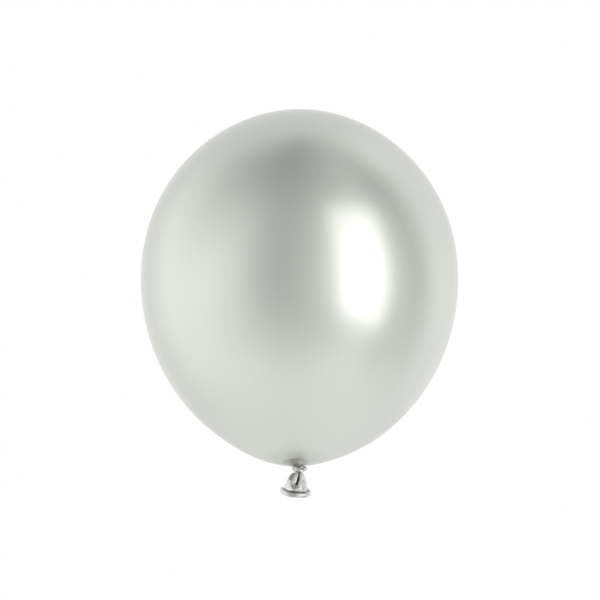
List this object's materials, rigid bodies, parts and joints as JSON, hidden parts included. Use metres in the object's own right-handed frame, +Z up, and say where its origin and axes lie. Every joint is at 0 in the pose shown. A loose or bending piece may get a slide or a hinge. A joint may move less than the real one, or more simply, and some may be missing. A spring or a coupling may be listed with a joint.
{
  "type": "round latex party balloon",
  "caption": "Inflated round balloon of silver latex, gathered at its neck, tied in an overhand knot, with a flared tail and a rolled rim.",
  "frame": {"origin": "waist of the gathered neck, just above the knot, where the balloon is tied and held", "axes": "+Z up to the crown of the envelope, +X to the right in the picture, -Y towards the front"},
  "size_m": [0.28, 0.28, 0.3539],
  "materials": {
    "silver_film": "pearly satin, stretched latex",
    "silver_gathered_film": "pearly gloss, unstretched latex"
  },
  "bodies": {
    "root": {"envelope": "silver_film", "neck": "silver_gathered_film", "knot": "silver_gathered_film", "tail": "silver_gathered_film", "rim": "silver_gathered_film"}
  },
  "joints": []
}
